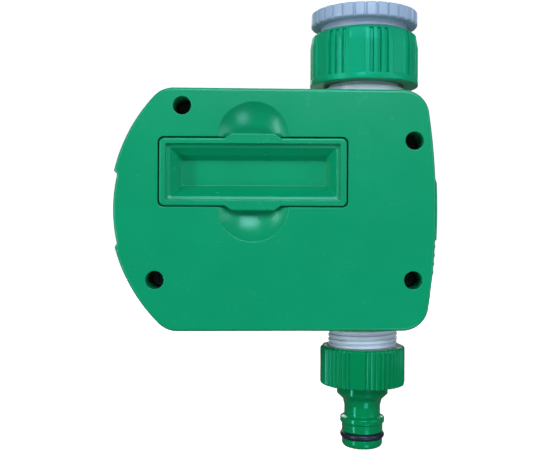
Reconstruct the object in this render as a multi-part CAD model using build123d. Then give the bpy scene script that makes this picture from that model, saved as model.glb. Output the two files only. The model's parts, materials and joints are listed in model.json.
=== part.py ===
"""Battery powered drip irrigation timer with a motor driven ball valve.

Frame, in millimetres: the origin is the centre of the tap adapter's mouth, at the top.
+Z is up along the water pipe, -Y is the display side and +Y is the battery side.
The timer stands to the +X side of the pipe, whose axis is X = 0, Y = 0.
"""
from build123d import *
from math import acos, atan2, cos, pi, radians, sin, sqrt, tan
import os

os.makedirs("parts", exist_ok=True)

# Water threads (ISO 228): crest radius, root radius and pitch
G34_CREST = 13.22
G34_ROOT = 12.06
G34_PITCH = 1.814
G1_CREST = 16.6

# Housing
BACK = 22.0
FRONT = -22.0
WALL = 2.2
TOP = -31.8
BOTTOM = -119.95
PIPE_END_TAPER = 0.6
MIDDLE = (TOP + BOTTOM) / 2
CORNER_R = 9.5
PIPE_EDGE = -24.0
PIPE_EDGE_RADIUS = 240.0
GRIP_EDGE = 93.8
GRIP_EDGE_RADIUS = 58.8
GRIP_MIDDLE = -75.0
GRIP_CENTRE_X = GRIP_EDGE - GRIP_EDGE_RADIUS
THUMB_ZONE_Z = (-88.3, -63.3)
THUMB_ZONE_X = 91.2
THUMB_ZONE_BOW = 1.4
PAD_RISE = 0.6
RIPPLE_COUNT = 4
RIPPLE_TOP = -88.9
RIPPLE_STEP = 3.1
RIPPLE_R = 1.7
RIPPLE_RISE = 0.3
EDGE_ROUND = 1.1
SEAM_CHAMFER = 0.25
SCREW_PLACES = [(67.8, -38.5), (77.4, -101.4), (-16.0, -50.8), (-15.7, -101.1)]
BOSS_R = 5.0
COUNTERBORE_R = 3.3
SCREW_SHANK_R = 1.45
SCREW_SEAT = 5.0

# Battery drawer, which pulls straight out of the back
COVER_X = (8.2, 76.1)
COVER_Z = (-74.6, -50.0)
COVER_MID_X = (COVER_X[0] + COVER_X[1]) / 2
COVER_MID_Z = (COVER_Z[0] + COVER_Z[1]) / 2
COVER_GAP = 0.4
FLANGE_DEPTH = 4.0
SEAL_DEPTH = 1.2
LEDGE = BACK - FLANGE_DEPTH - SEAL_DEPTH - 0.1
TROUGH_DEPTH = 8.0
SCOOP_R = 13.0
SCOOP_DEPTH = 5.0
SCOOP_SPHERE_R = (SCOOP_R**2 + SCOOP_DEPTH**2) / (2 * SCOOP_DEPTH)
BATTERY_R = 5.2
BATTERY_LENGTH = 43.0
BATTERY_MID = (46.2, 7.0)
BATTERY_STEP = 10.8
BAY_X = (17.6, 74.4)
BAY_Z = (-73.0, -50.8)
TRAY_X = (19.6, 73.2)
TRAY_WALL = 1.3
CONTACT_PIN_R = 0.9

# Inlet: swivel nut and tap adapter
ADAPTER_R = 20.4
ADAPTER_RING = 5.2
ADAPTER_LENGTH = 18.9
NUT_R = 20.77
NUT_TOP = -8.2
NUT_BOTTOM = -28.1
NUT_LIP_TOP = -24.6
SPIGOT_FACE = -21.4
SPIGOT_COLLAR_R = 15.6

# Outlet: threaded spigot and hose connector
SPIGOT_END = -134.4
SPIGOT_FLANGE_R = 13.2
SPIGOT_FLANGE_TOP = -113.5
CONNECTOR_R = 16.35
CONNECTOR_TOP = -127.6
CONNECTOR_SHOULDER = -142.3
WASHER_BELOW = -136.6
TIP = -166.5
NIPPLE_R = 7.8
O_RING_Z = -161.88
O_RING_CORD = 2.5

# Ball valve and its gear train
BALL_Z = -90.0
BALL_R = 8.5
BALL_BORE = 5.5
CHAMBER_R = 8.9
BODY_R = 11.5
TUBE_R = 9.5
BOSS_TOP = 12.2
MODULE = 0.6
PRESSURE_ANGLE = radians(22)
BACKLASH = 0.14
OUTPUT_TEETH = 40
WHEEL_TEETH = 36
PINION_TEETH = 12
MOTOR_TEETH = 10
OUTPUT_AT = (0.0, BALL_Z)
GEAR_B_AT = (14.9, -94.6)
GEAR_A_AT = (29.0, -97.5)
MOTOR_AT = (42.75, -96.3)
LAYER_LOW = (9.3, 11.5)
LAYER_MID = (12.6, 14.8)
LAYER_HIGH = (15.3, 17.5)
BASE_PLATE = (7.6, 9.0)
COVER_PLATE = (17.9, 19.2)
AXLE_R = 1.0
STEM_R = 3.0
DRIVE = 4.0
PILLARS = [(13.0, -80.0), (16.0, -108.7), (30.0, -83.8), (50.5, -102.5)]
PLATE_SCREWS = [(17.5, -80.0), (12.7, -101.8)]
MOTOR_R = 10.0
MOTOR_FACE = 7.5
MOTOR_BACK = -10.5
SHAFT_R = 0.75

# Control side
BOARD = (-15.6, -14.0)
PANEL_FACE = FRONT - 0.6
DISPLAY_AT = (52.0, -58.0)
DISPLAY_SIZE = (36.0, 20.0)
BUTTON_PLACES = [(40.5, -82.5), (63.5, -82.5), (40.5, -98.0), (63.5, -98.0)]
BUTTON_SIZE = (12.0, 7.5)
HINGE_AT = (-25.4, -38.2)
HINGE_R = 1.0
KNUCKLE_R = 2.3
LUG_SPANS = [(33.0, 37.0), (52.0, 56.0), (71.0, 75.0)]
LID_SPANS = [(37.3, 51.7), (56.3, 70.7)]
BOARD_SCREWS = [(26.5, -62.0), (82.0, -62.0), (54.0, -108.0)]


def slab(face, y_from, y_to):
    """Extrude a face drawn in X and Z from one Y to another."""
    return extrude(Plane.XZ.offset(-y_from) * face, amount=y_from - y_to)


def rod(x, z, radius, y_from, y_to):
    """A round bar along Y."""
    return slab(Pos(x, z) * Circle(radius), y_from, y_to)


def disc(radius, z_from, z_to, x=0.0, y=0.0):
    """A round bar along Z."""
    return Pos(x, y, (z_from + z_to) / 2) * Cylinder(radius, abs(z_to - z_from))


def block(x_span, y_span, z_span):
    """A box between two X, two Y and two Z values."""
    size = [abs(span[1] - span[0]) for span in (x_span, y_span, z_span)]
    middle = [(span[0] + span[1]) / 2 for span in (x_span, y_span, z_span)]
    return Pos(*middle) * Box(*size)


def turned(points):
    """Turn a closed outline of (radius, z) points about the pipe axis."""
    return revolve(Plane.XZ * make_face(Polyline(*points, close=True)), Axis.Z)


def window(size, at, corner):
    """A rounded rectangle in X and Z."""
    return Pos(*at) * RectangleRounded(size[0], size[1], corner)


def span_window(x_span, z_span, corner, grow=0.0):
    """A rounded rectangle between two X and two Z values, grown all round."""
    size = (x_span[1] - x_span[0] + 2 * grow, z_span[1] - z_span[0] + 2 * grow)
    return window(size, ((x_span[0] + x_span[1]) / 2, (z_span[0] + z_span[1]) / 2), corner)


def external_thread(root, crest, pitch, z_low, z_high):
    """The helical ridge of an outside thread, to be joined to its core."""
    helix = Pos(0, 0, z_low) * Helix(pitch, z_high - z_low, root - 0.1)
    foot = pitch * 0.46
    top = pitch * 0.27
    profile = Polyline(
        (root - 0.1, 0, z_low - foot),
        (crest, 0, z_low - top),
        (crest, 0, z_low + top),
        (root - 0.1, 0, z_low + foot),
        close=True,
    )
    return sweep(make_face(profile), path=helix, is_frenet=True)


def body_outline():
    """The housing's outline in X and Z: a flat-sided pipe end and a bowed grip end."""
    high = TOP - PIPE_END_TAPER
    low = BOTTOM + PIPE_END_TAPER
    lines = [
        Line((pipe_x(high), high), (grip_x(TOP), TOP)),
        ThreePointArc((grip_x(TOP), TOP), (GRIP_EDGE, GRIP_MIDDLE), (grip_x(BOTTOM), BOTTOM)),
        Line((grip_x(BOTTOM), BOTTOM), (pipe_x(low), low)),
        ThreePointArc((pipe_x(low), low), (PIPE_EDGE, MIDDLE), (pipe_x(high), high)),
    ]
    face = fillet(make_face(lines).vertices(), CORNER_R)
    return face - thumb_zone()


def pipe_x(z):
    """Where the slightly bowed pipe side stands at a height."""
    return PIPE_EDGE + PIPE_EDGE_RADIUS - sqrt(PIPE_EDGE_RADIUS**2 - (z - MIDDLE) ** 2)


def grip_x(z, inset=0.0):
    """Where the bowed side, moved in by inset, stands at a height."""
    return GRIP_CENTRE_X + sqrt((GRIP_EDGE_RADIUS - inset) ** 2 - (z - GRIP_MIDDLE) ** 2)


def thumb_zone():
    """The shallow recess for a thumb, cut from the bowed side, with its own bow."""
    low, high = THUMB_ZONE_Z
    ramp = 1.3
    lines = [
        ThreePointArc(
            (THUMB_ZONE_X, high), (THUMB_ZONE_X + THUMB_ZONE_BOW, GRIP_MIDDLE), (THUMB_ZONE_X, low)
        ),
        Line((THUMB_ZONE_X, low), (grip_x(low - ramp), low - ramp)),
        Line((grip_x(low - ramp), low - ramp), (GRIP_EDGE + 2, low - ramp)),
        Line((GRIP_EDGE + 2, low - ramp), (GRIP_EDGE + 2, high + ramp)),
        Line((GRIP_EDGE + 2, high + ramp), (grip_x(high + ramp), high + ramp)),
        Line((grip_x(high + ramp), high + ramp), (THUMB_ZONE_X, high)),
    ]
    return make_face(lines)


OUTLINE = body_outline()


def side_grips(y_from, y_to):
    """The raised thumb pad and its ripples on the pipe side."""
    root = PIPE_EDGE + 2.8
    lines = [
        Line((root, -57.0), (pipe_x(-66) - PAD_RISE, -66)),
        ThreePointArc(
            (pipe_x(-66) - PAD_RISE, -66), (PIPE_EDGE - PAD_RISE, MIDDLE), (pipe_x(-86.5) - PAD_RISE, -86.5)
        ),
        Line((pipe_x(-86.5) - PAD_RISE, -86.5), (root, -88.5)),
        Line((root, -88.5), (root, -57.0)),
    ]
    grips = slab(make_face(lines), y_from, y_to)
    for index in range(RIPPLE_COUNT):
        z = RIPPLE_TOP - RIPPLE_STEP * index
        grips += rod(pipe_x(z) - RIPPLE_RISE + RIPPLE_R, z, RIPPLE_R, y_from, y_to)
    return grips


def half_shell(y_rim, y_face, inner_face):
    """One half of the housing: an outer skin with rounded face edges, hollowed out."""
    skin = slab(OUTLINE, y_rim, y_face)
    rim_edges = skin.edges().filter_by_position(Axis.Y, y_face - 0.01, y_face + 0.01)
    skin = fillet(rim_edges, EDGE_ROUND)
    seam_edges = skin.edges().filter_by_position(Axis.Y, y_rim - 0.01, y_rim + 0.01)
    skin = chamfer(seam_edges, SEAM_CHAMFER)
    step = 1.6 if y_face > y_rim else -1.6
    skin += side_grips(y_rim, y_face - step)
    return skin - slab(offset(OUTLINE, -WALL), y_rim, inner_face)


def pipe_passages():
    """The room that the valve body takes where it passes through the joint of the shells."""
    inlet = disc(11.95, TOP + 1, TOP - 6)
    outlet = disc(12.2, BOTTOM - 1, BOTTOM + 6)
    flange = disc(SPIGOT_FLANGE_R + 0.1, BOTTOM + WALL + 0.05, SPIGOT_FLANGE_TOP + 0.5)
    return inlet + outlet + flange


def valve_room():
    """The room that the ball chamber needs beside the screw bosses."""
    return disc(BODY_R + 0.3, -116, -74)


def gasket_band():
    """The cord that seals the two shells, laid in the middle of their rims."""
    band = offset(OUTLINE, -0.6) - offset(OUTLINE, -1.6)
    return slab(band, -0.6, 0.6) - pipe_passages()


def housing_gasket():
    return gasket_band() - disc(13.4, TOP + 1, TOP - 6) - disc(13.6, BOTTOM - 1, BOTTOM + 6)


def battery_bay():
    """Solid stock for the drawer's pocket behind the back wall."""
    stock = slab(span_window(COVER_X, COVER_Z, 3, grow=COVER_GAP + 1.5), LEDGE - 1.4, BACK - 1)
    stock += slab(span_window(BAY_X, BAY_Z, 2, grow=1.4), -1.4, LEDGE)
    stock += slab(span_window((9.4, BAY_X[1]), BAY_Z, 2, grow=1.4), 9.9, LEDGE)
    for z in COVER_Z:
        bowl = Pos(COVER_MID_X, BACK - SCOOP_DEPTH + SCOOP_SPHERE_R, z) * Sphere(SCOOP_SPHERE_R + 1.6)
        stock += bowl & block((20, 64), (LEDGE - 1.4, BACK - 1), (z - 16, z + 16))
    return stock


def battery_pocket():
    """The hollow that the drawer slides into, with finger scoops above and below it."""
    pocket = slab(span_window(COVER_X, COVER_Z, 2.2, grow=COVER_GAP), LEDGE, BACK + 1)
    pocket += slab(span_window(BAY_X, BAY_Z, 1.0), 0, LEDGE)
    pocket += slab(span_window((9.4, BAY_X[1]), BAY_Z, 1.0), 11.3, LEDGE)
    for z in COVER_Z:
        pocket += Pos(COVER_MID_X, BACK - SCOOP_DEPTH + SCOOP_SPHERE_R, z) * Sphere(SCOOP_SPHERE_R)
    return pocket


def rear_housing():
    shell = half_shell(0, BACK, BACK - 2.0)
    hollow = slab(OUTLINE, -2, BACK - 0.5)
    for x, z in SCREW_PLACES:
        shell += (rod(x, z, BOSS_R, 0, BACK - 1) & hollow) - valve_room()
    shell += block((-21.5, 12.5), (0, BACK - 1.5), (-46.5, -44.7))
    shell += battery_bay()
    shell -= battery_pocket()
    shell -= disc(TUBE_R + 0.05, -50, -40)
    for x, z in SCREW_PLACES:
        shell -= rod(x, z, COUNTERBORE_R, SCREW_SEAT, BACK + 1)
        shell -= rod(x, z, SCREW_SHANK_R + 0.2, -1, SCREW_SEAT + 1)
    for x, z in contact_places():
        shell -= rod(x, z, CONTACT_PIN_R, -3, 1)
    shell -= pipe_passages()
    return shell - gasket_band()


def front_housing():
    shell = half_shell(0, FRONT, FRONT + 2.4)
    hollow = slab(OUTLINE, 2, FRONT + 0.5)
    for x, z in SCREW_PLACES:
        shell += (rod(x, z, BOSS_R, 0, FRONT + 1) & hollow) - valve_room()
        shell -= rod(x, z, SCREW_SHANK_R, 1, FRONT + 4)
    for x, z in BOARD_SCREWS:
        shell += rod(x, z, 2.6, BOARD[0], FRONT + 1)
        shell -= rod(x, z, 0.9, BOARD[0] + 1, BOARD[0] - 4)
    shell += block((-21.5, 12.5), (0, FRONT + 1.5), (-46.5, -44.7))
    shell -= disc(TUBE_R + 0.05, -50, -40)
    shell -= pipe_passages()
    shell -= gasket_band()
    shell -= slab(panel_outline(0.15), FRONT - 1, FRONT + 1.0)
    shell -= slab(window(DISPLAY_SIZE, DISPLAY_AT, 1.5), FRONT - 1, FRONT + 3)
    for place in BUTTON_PLACES:
        shell -= slab(window(BUTTON_SIZE, place, 2.5), FRONT - 1, FRONT + 3)
    shell += flow_arrow()
    for x_span in LUG_SPANS:
        shell += hinge_knuckle(x_span, FRONT + 1)
    return shell - hinge_rod(HINGE_R + 0.02, (30, 80))


def hinge_rod(radius, x_span):
    """A round bar along X on the lid's hinge axis."""
    length = x_span[1] - x_span[0]
    return Pos((x_span[0] + x_span[1]) / 2, *HINGE_AT) * Rot(0, 90, 0) * Cylinder(radius, length)


def hinge_knuckle(x_span, y_root):
    """A knuckle round the hinge axis with a web back to the part that carries it."""
    web = block(x_span, (HINGE_AT[0], y_root), (HINGE_AT[1] - KNUCKLE_R, HINGE_AT[1] + KNUCKLE_R))
    return hinge_rod(KNUCKLE_R, x_span) + web


def flow_arrow():
    """A raised arrow that shows the water running down the pipe side."""
    arrow = make_face(
        Polyline(
            (-3, -58), (3, -58), (3, -86), (8, -86), (0, -98), (-8, -86), (-3, -86), close=True
        )
    )
    return slab(arrow, FRONT + 0.5, FRONT - 0.7)


def control_zone(inset, x_low, z_span, corner):
    """A region that follows the bowed side, moved in, with three straight sides."""
    low, high = z_span
    x_at_low = grip_x(low, inset)
    x_at_high = grip_x(high, inset)
    lines = [
        Line((x_low, high), (x_at_high, high)),
        ThreePointArc((x_at_high, high), (GRIP_EDGE - inset, GRIP_MIDDLE), (x_at_low, low)),
        Line((x_at_low, low), (x_low, low)),
        Line((x_low, low), (x_low, high)),
    ]
    face = make_face(lines)
    return fillet(face.vertices(), corner)


def panel_outline(grow=0.0):
    """The control panel follows the bowed side and is cut straight on the pipe side."""
    return control_zone(5.0 - grow, 21.0 - grow, (-111.0 - grow, -44.2 + grow), 4.0)


def fascia_panel():
    panel = slab(panel_outline(), PANEL_FACE, FRONT + 1.0)
    panel -= slab(window(DISPLAY_SIZE, DISPLAY_AT, 1.5), FRONT - 2, FRONT + 2)
    for place in BUTTON_PLACES:
        panel -= slab(window(BUTTON_SIZE, place, 2.5), FRONT - 2, FRONT + 2)
    return panel


def lcd_window():
    pane = window((DISPLAY_SIZE[0] - 0.1, DISPLAY_SIZE[1] - 0.1), DISPLAY_AT, 1.5)
    return slab(pane, PANEL_FACE, FRONT + 2.4)


def lcd_module():
    glass = slab(window((42, 26), DISPLAY_AT, 0.8), FRONT + 2.7, FRONT + 4.9)
    foot = slab(window((40, 24), DISPLAY_AT, 0.5), FRONT + 4.9, BOARD[0])
    return glass + foot


def push_button(place):
    """A button cap with a retaining skirt behind the front wall and a plunger."""
    width, height = BUTTON_SIZE
    cap = slab(window((width - 0.5, height - 0.5), place, 2.3), FRONT - 1.7, FRONT + 3.3)
    face_edges = cap.edges().filter_by_position(Axis.Y, FRONT - 1.71, FRONT - 1.69)
    cap = fillet(face_edges, 0.6)
    cap += slab(window((width + 1.2, height + 1.2), place, 2.0), FRONT + 2.5, FRONT + 3.3)
    return cap


def tact_switches():
    """Four push switches on the board, each just behind its button."""
    switches = []
    for x, z in BUTTON_PLACES:
        body = slab(window((6, 6), (x, z), 0.4), BOARD[0] - 1.5, BOARD[0])
        switches.append(body + rod(x, z, 1.6, BOARD[0] - 2.4, BOARD[0] - 1.4))
    return Compound(switches)


def circuit_board():
    board = slab(control_zone(6.5, 22.5, (-108.5, -44.0), 3.0), BOARD[0], BOARD[1])
    for x, z in BOARD_SCREWS:
        board -= rod(x, z, 1.25, BOARD[0] - 1, BOARD[1] + 1)
    for x, z in SCREW_PLACES:
        board -= rod(x, z, BOSS_R + 0.5, BOARD[0] - 1, BOARD[1] + 1)
    return board


def board_parts():
    """The controller chip, a buzzer, a capacitor, and two wire headers."""
    face = BOARD[1]
    chip = slab(window((10, 10), (50, -60), 0.3), face, face + 1.6)
    buzzer = rod(72, -62, 4.5, face, face + 5)
    capacitor = rod(34, -58, 3.2, face, face + 7)
    headers = [block((x, x + 6), (face, face + 5), (-81, -78)) for x in (31, 62)]
    return Compound([chip, buzzer, capacitor] + headers)


def board_screws():
    screws = []
    for x, z in BOARD_SCREWS:
        screws.append(rod(x, z, 2.0, BOARD[1], BOARD[1] + 1.4) + rod(x, z, 0.9, BOARD[0] - 3.5, BOARD[1]))
    return Compound(screws)


def flip_cover():
    """The clear lid over the control panel, a shallow tray hinged along its top."""
    face = control_zone(3.0, 19.0, (-114.0, -41.8), 5.0)
    lid = slab(face, FRONT - 0.3, FRONT - 6.5)
    face_edges = lid.edges().filter_by_position(Axis.Y, FRONT - 6.51, FRONT - 6.49)
    lid = fillet(face_edges, 1.2)
    lid -= slab(control_zone(4.5, 20.5, (-112.5, -43.3), 3.5), FRONT - 0.3, FRONT - 5.1)
    for x_span in LID_SPANS:
        lid += hinge_rod(KNUCKLE_R, x_span)
        lid += block(x_span, (FRONT - 5.7, FRONT - 4.0), (HINGE_AT[1] - 5.0, HINGE_AT[1]))
    lid += slab(window((12, 3.4), (56, -115.5), 1.0), FRONT - 3.0, FRONT - 4.6)
    return lid - hinge_rod(HINGE_R + 0.05, (30, 80))


def cover_hinge_pin():
    return hinge_rod(HINGE_R, (33.5, 74.5))


def housing_screws():
    """Four pan-head screws, driven from the back at the bottom of their deep holes."""
    screws = []
    for x, z in SCREW_PLACES:
        head = rod(x, z, 2.8, SCREW_SEAT, SCREW_SEAT + 2.2)
        head -= block((x - 2.0, x + 2.0), (SCREW_SEAT + 1.2, SCREW_SEAT + 3), (z - 0.4, z + 0.4))
        head -= block((x - 0.4, x + 0.4), (SCREW_SEAT + 1.2, SCREW_SEAT + 3), (z - 2.0, z + 2.0))
        screws.append(head + rod(x, z, SCREW_SHANK_R, -12, SCREW_SEAT))
    return Compound(screws)


def trough_block(rim, floor, rim_y, floor_y):
    """A tapered block with a rectangular rim and a smaller rectangular floor."""
    upper = Plane.XZ.offset(-rim_y) * window(rim, (COVER_MID_X, COVER_MID_Z), 0.8)
    lower = Plane.XZ.offset(-floor_y) * window(floor, (COVER_MID_X, COVER_MID_Z), 0.8)
    return loft([upper, lower])


def pull_tab(side):
    """A finger tab on the drawer's edge, over a scoop. side is +1 on top and -1 below."""
    edge = COVER_Z[1] if side > 0 else COVER_Z[0]
    base = edge - side * 2.4
    outer = edge + side * 1.7
    shape = make_face(
        Polyline(
            (COVER_MID_X - 10.15, base),
            (COVER_MID_X - 10.15, edge),
            (COVER_MID_X - 7.65, outer),
            (COVER_MID_X + 7.65, outer),
            (COVER_MID_X + 10.15, edge),
            (COVER_MID_X + 10.15, base),
            close=True,
        )
    )
    tab = slab(shape, BACK - 2.0, BACK)
    face_edges = tab.edges().filter_by_position(Axis.Y, BACK - 0.01, BACK + 0.01)
    return chamfer(face_edges, 0.4)


def battery_cover():
    """The drawer front: a sunken grip trough with a rim, two tabs and a skirt."""
    cover = slab(span_window(COVER_X, COVER_Z, 2.0), BACK - FLANGE_DEPTH, BACK - 0.25)
    face_edges = cover.edges().filter_by_position(Axis.Y, BACK - 0.26, BACK - 0.24)
    cover = fillet(face_edges, 0.7)
    cover += slab(window((62.0, 20.4), (COVER_MID_X, COVER_MID_Z), 1.0), 13.2, BACK - 2)
    cover -= slab(window((59.2, 17.6), (COVER_MID_X, COVER_MID_Z), 0.6), 12, BACK - FLANGE_DEPTH)
    floor_y = BACK - TROUGH_DEPTH
    cover += trough_block((64.4, 21.4), (55.4, 12.0), BACK - 3.2, floor_y - 1.5)
    cover += pull_tab(1) + pull_tab(-1)
    steps = [(62.4, 19.4, BACK - 1.6), (60.6, 17.6, BACK - 1.95), (56.0, 12.6, BACK - 5.0), (53.2, 9.4, floor_y)]
    for outer, inner in zip(steps, steps[1:]):
        cover -= trough_block(outer[:2], inner[:2], outer[2], inner[2])
    return cover - slab(window((63.3, 20.4), (COVER_MID_X, COVER_MID_Z), 0.5), BACK - 1.6, BACK + 1)


def battery_seal():
    """A flat rubber ring under the drawer's rim."""
    ring = span_window(COVER_X, COVER_Z, 1.8, grow=-0.3)
    ring -= span_window((9.5, BAY_X[1] - 0.1), (BAY_Z[0] + 0.1, BAY_Z[1] - 0.1), 1.0)
    top = BACK - FLANGE_DEPTH
    return slab(ring, top - SEAL_DEPTH, top)


def battery_rows():
    """The Z of each cell."""
    return (COVER_MID_Z + BATTERY_STEP / 2, COVER_MID_Z - BATTERY_STEP / 2)


def battery_cradle():
    """The drawer's tray: a floor, two end walls and low ribs that hold the cells."""
    z_span = (BAY_Z[0] + 0.35, BAY_Z[1] - 0.35)
    tray = block(TRAY_X, (0.3, 1.4), z_span)
    for x in (TRAY_X[0], TRAY_X[1] - TRAY_WALL):
        tray += block((x, x + TRAY_WALL), (0.3, 12.5), z_span)
    for x in (32.0, 46.0, 60.0):
        tray += block((x, x + 2), (0.3, 6.5), z_span)
    length = TRAY_X[1] - TRAY_X[0] - 2 * TRAY_WALL
    for z in battery_rows():
        middle = Pos((TRAY_X[0] + TRAY_X[1]) / 2, BATTERY_MID[1], z)
        tray -= middle * Rot(0, 90, 0) * Cylinder(BATTERY_R + 0.1, length)
    return tray - battery_contacts()


def battery(z, button_side):
    """A small round cell lying along X, with its button end towards -X or +X."""
    cell = Cylinder(BATTERY_R, BATTERY_LENGTH)
    cell = fillet(cell.edges(), 0.4)
    button = Pos(0, 0, button_side * (BATTERY_LENGTH / 2 + 0.4)) * Cylinder(1.9, 0.8)
    return Pos(BATTERY_MID[0], BATTERY_MID[1], z) * Rot(0, 90, 0) * (cell + button)


def contact_places():
    """The X and Z of each contact foot under the tray's ends."""
    inner = (TRAY_X[0] + TRAY_WALL + 1.3, TRAY_X[1] - TRAY_WALL - 1.3)
    return [(x, z) for x in inner for z in battery_rows()]


def battery_contacts():
    """A bent strip at each end of each cell, with a foot under the tray."""
    strips = []
    cell_ends = (BATTERY_MID[0] - BATTERY_LENGTH / 2, BATTERY_MID[0] + BATTERY_LENGTH / 2)
    for end, side in ((0, 1), (1, -1)):
        wall = TRAY_X[end] + side * TRAY_WALL
        for row, z in enumerate(battery_rows()):
            has_button = (row == 0) == (side < 0)
            touch = cell_ends[end] - side * (0.85 if has_button else 0.05)
            strip = block((wall, wall + side * 0.3), (0.3, 11.5), (z - 3, z + 3))
            strip += block((wall, wall + side * 2.6), (0.3, 0.6), (z - 3, z + 3))
            leaf = Polyline(
                (wall, 2.9),
                (touch, 7.0),
                (wall + side * 1.2, 10.6),
                (wall + side * 0.9, 10.4),
                (touch - side * 0.4, 7.0),
                (wall, 3.4),
                close=True,
            )
            strip += Pos(0, 0, z - 2) * extrude(make_face(leaf), amount=4)
            strips.append(strip)
    return Compound(strips)


def bay_contacts():
    """Four pins through the bay's floor, under the feet of the tray's contacts."""
    return Compound([rod(x, z, CONTACT_PIN_R, -4, 0.25) for x, z in contact_places()])


def swivel_nut_outline(radius):
    """The nut's round outline with eight flat panels and three grooves between each pair."""
    face = Circle(radius + 0.5)
    for index in range(8):
        panel_angle = 90 - 11.5 + 45 * index
        flat = radius * cos(radians(7.7)) - 0.55
        face -= Rot(0, 0, panel_angle) * Pos(flat + 2, 0) * Rectangle(4, 2 * radius * sin(radians(7.7)))
        for step in (-8, 0, 8):
            angle = panel_angle + 22.5 + step
            face -= Rot(0, 0, angle) * Pos(radius, 0) * Rectangle(2.0, 1.1)
    return face


def swivel_nut():
    """The ribbed nut that turns freely on the inlet spigot."""
    nut = turned(
        [
            (SPIGOT_COLLAR_R - 0.2, NUT_BOTTOM),
            (NUT_R - 0.5, NUT_BOTTOM),
            (NUT_R, NUT_BOTTOM + 0.5),
            (NUT_R, NUT_TOP - 3.4),
            (NUT_R - 0.4, NUT_TOP - 1.9),
            (NUT_R - 1.4, NUT_TOP - 0.6),
            (NUT_R - 3.2, NUT_TOP),
            (G1_CREST + 0.15, NUT_TOP),
            (G1_CREST + 0.15, NUT_LIP_TOP),
            (13.9, NUT_LIP_TOP),
            (13.9, NUT_BOTTOM + 1.4),
        ]
    )
    ribbed = Circle(NUT_R + 1) - swivel_nut_outline(NUT_R)
    return nut - Pos(0, 0, -25.6) * extrude(ribbed, amount=17.2)


def inlet_adapter():
    """The knurled reducer: G3/4 inside for the tap, G1 outside for the swivel nut."""
    adapter = turned(
        [
            (G34_ROOT, 0),
            (ADAPTER_R - 0.7, 0),
            (ADAPTER_R, -0.7),
            (ADAPTER_R, 0.4 - ADAPTER_RING),
            (ADAPTER_R - 0.4, -ADAPTER_RING),
            (G1_CREST, -ADAPTER_RING - 0.3),
            (G1_CREST, 0.8 - ADAPTER_LENGTH),
            (G1_CREST - 0.8, -ADAPTER_LENGTH),
            (10.0, -ADAPTER_LENGTH),
            (10.0, -13.0),
            (G34_ROOT, -13.0),
        ]
    )
    groove = Pos(ADAPTER_R, 0, -ADAPTER_RING / 2) * Box(1.0, 0.8, ADAPTER_RING + 1)
    for index in range(30):
        adapter -= Rot(0, 0, 85.5 + 12 * index) * groove
    return adapter


def inlet_washer():
    bottom = SPIGOT_FACE + 0.02
    return disc(14.6, bottom, -ADAPTER_LENGTH - 0.02) - disc(8.4, bottom - 1, 0)


def filter_screen():
    """A domed disc of mesh that hangs in the spigot's mouth under the washer."""
    rim = disc(9.6, SPIGOT_FACE - 1.0, SPIGOT_FACE) - disc(8.0, SPIGOT_FACE - 2, 0)
    basket = disc(8.4, SPIGOT_FACE - 6.0, SPIGOT_FACE) - disc(7.6, SPIGOT_FACE - 5.4, 0)
    for x in (-4.5, -1.5, 1.5, 4.5):
        for y in (-4.5, -1.5, 1.5, 4.5):
            basket -= disc(0.8, SPIGOT_FACE - 7, SPIGOT_FACE - 5, x, y)
    return rim + basket


def valve_body_upper():
    """The inlet spigot, the water way and the ball chamber with its stem boss."""
    body = turned(
        [
            (9.7, SPIGOT_FACE),
            (14.7, SPIGOT_FACE),
            (14.7, NUT_LIP_TOP + 0.2),
            (13.5, NUT_LIP_TOP + 0.2),
            (13.5, -28.9),
            (SPIGOT_COLLAR_R - 0.6, -28.9),
            (SPIGOT_COLLAR_R, -29.5),
            (SPIGOT_COLLAR_R, TOP - 0.3),
            (11.8, TOP - 0.3),
            (11.8, -40.0),
            (TUBE_R, -42.3),
            (TUBE_R, -74.0),
            (BODY_R, -76.0),
            (BODY_R, -104.0),
            (CHAMBER_R, -104.0),
            (CHAMBER_R, -81.2),
            (6.5, -81.2),
            (6.5, -29.0),
            (8.5, -29.0),
            (8.5, SPIGOT_FACE - 1.0),
            (9.7, SPIGOT_FACE - 1.0),
        ]
    )
    body += rod(0, BALL_Z, 6.0, 9.5, BOSS_TOP)
    for x, z in PLATE_SCREWS:
        lug = block((8.0, x + 2.2), (2.5, BASE_PLATE[0]), (z - 2.1, z + 2.1))
        body += lug - disc(CHAMBER_R + 0.5, -110, -77)
    body -= rod(0, BALL_Z, STEM_R + 0.05, 5, BOSS_TOP + 1)
    for x, z in PLATE_SCREWS:
        body -= rod(x, z, 0.9, 3.0, 9)
    return body


def valve_body_lower():
    """The plug that closes the ball chamber, and the threaded outlet spigot."""
    body = turned(
        [
            (5.6, -98.6),
            (CHAMBER_R - 0.04, -98.6),
            (CHAMBER_R - 0.04, -100.0),
            (7.6, -100.0),
            (7.6, -102.0),
            (CHAMBER_R - 0.04, -102.0),
            (CHAMBER_R - 0.04, -104.05),
            (BODY_R, -104.05),
            (BODY_R, -112.0),
            (SPIGOT_FLANGE_R, SPIGOT_FLANGE_TOP),
            (SPIGOT_FLANGE_R, BOTTOM + WALL + 0.1),
            (12.05, BOTTOM + WALL + 0.1),
            (12.05, SPIGOT_END + 0.8),
            (11.3, SPIGOT_END),
            (7.5, SPIGOT_END),
            (7.5, -110.0),
            (5.6, -106.0),
        ]
    )
    thread = external_thread(G34_ROOT, G34_CREST, G34_PITCH, SPIGOT_END + 1.6, BOTTOM - 1.1)
    return body + thread


def valve_body_o_ring():
    return disc(CHAMBER_R - 0.02, -101.9, -100.1) - disc(7.62, -103, -99)


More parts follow.
